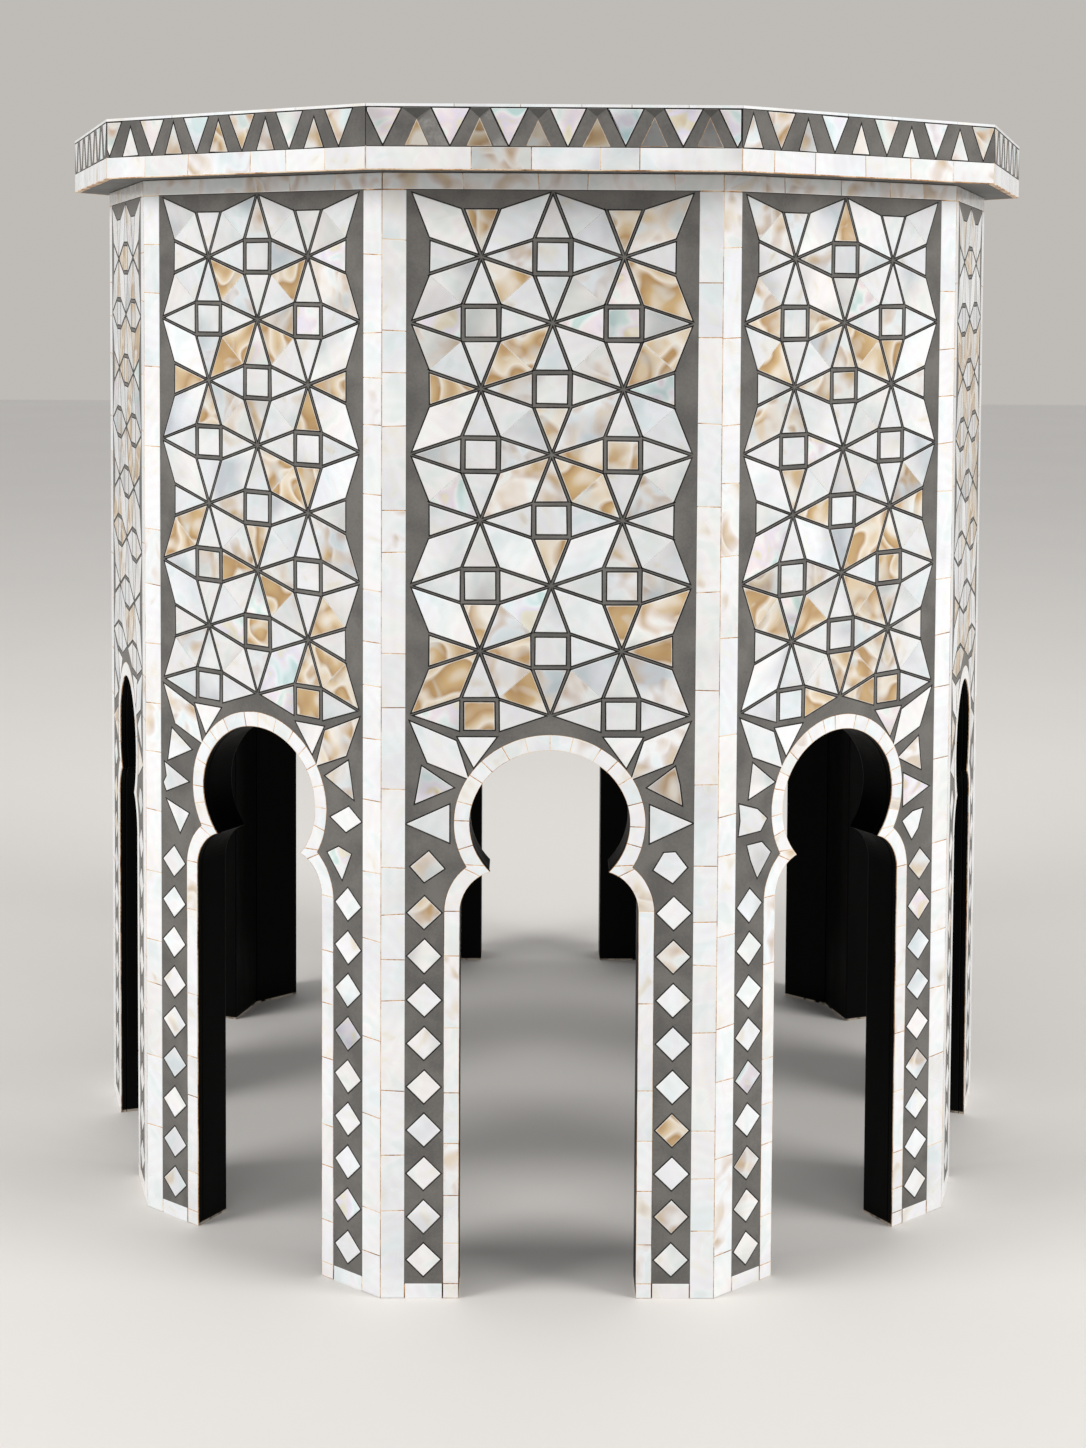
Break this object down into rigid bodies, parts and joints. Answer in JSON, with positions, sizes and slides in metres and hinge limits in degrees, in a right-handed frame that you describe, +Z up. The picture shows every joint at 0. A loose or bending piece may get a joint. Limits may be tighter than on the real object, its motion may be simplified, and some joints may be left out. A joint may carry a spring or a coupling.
{
  "type": "moroccan kursi stool",
  "caption": "Low drum-shaped stool or side table with mitred, keyhole-arched sides, mother-of-pearl inlay and an overhanging faceted top.",
  "frame": {"origin": "on the floor, under the middle of the drum", "axes": "+Z up, -Y out of the side that faces the viewer in the picture, +X to that viewer's right"},
  "size_m": [0.4988, 0.4744, 0.508],
  "materials": {
    "black_board": "black satin paint on board",
    "grey_board": "dark grey satin paint on board",
    "resin_and_pearl_field": "mother-of-pearl mosaic polished level in grey resin",
    "resin_and_pearl_edge": "mother-of-pearl triangles and strip polished level in grey resin",
    "pearl_strip": "butted strips of polished mother-of-pearl",
    "pearl_top": "mother-of-pearl mosaic in grey resin, polished level"
  },
  "bodies": {
    "root": {"top_board": "grey_board", "top_inlay": "pearl_top", "top_ring": "black_board", "side_board_01": "black_board", "side_board_02": "black_board", "side_board_03": "black_board", "side_board_04": "black_board", "side_board_05": "black_board", "side_board_06": "black_board", "side_board_07": "black_board", "side_board_08": "black_board", "side_board_09": "black_board", "side_board_10": "black_board", "side_inlay_01": "resin_and_pearl_field", "side_inlay_02": "resin_and_pearl_field", "side_inlay_03": "resin_and_pearl_field", "side_inlay_04": "resin_and_pearl_field", "side_inlay_05": "resin_and_pearl_field", "side_inlay_06": "resin_and_pearl_field", "side_inlay_07": "resin_and_pearl_field", "side_inlay_08": "resin_and_pearl_field", "side_inlay_09": "resin_and_pearl_field", "side_inlay_10": "resin_and_pearl_field", "side_frame_01": "pearl_strip", "side_frame_02": "pearl_strip", "side_frame_03": "pearl_strip", "side_frame_04": "pearl_strip", "side_frame_05": "pearl_strip", "side_frame_06": "pearl_strip", "side_frame_07": "pearl_strip", "side_frame_08": "pearl_strip", "side_frame_09": "pearl_strip", "side_frame_10": "pearl_strip", "arch_trim_01": "pearl_strip", "arch_trim_02": "pearl_strip", "arch_trim_03": "pearl_strip", "arch_trim_04": "pearl_strip", "arch_trim_05": "pearl_strip", "arch_trim_06": "pearl_strip", "arch_trim_07": "pearl_strip", "arch_trim_08": "pearl_strip", "arch_trim_09": "pearl_strip", "arch_trim_10": "pearl_strip", "edge_inlay_01": "resin_and_pearl_edge", "edge_inlay_02": "resin_and_pearl_edge", "edge_inlay_03": "resin_and_pearl_edge", "edge_inlay_04": "resin_and_pearl_edge", "edge_inlay_05": "resin_and_pearl_edge", "edge_inlay_06": "resin_and_pearl_edge", "edge_inlay_07": "resin_and_pearl_edge", "edge_inlay_08": "resin_and_pearl_edge", "edge_inlay_09": "resin_and_pearl_edge", "edge_inlay_10": "resin_and_pearl_edge"}
  },
  "joints": []
}
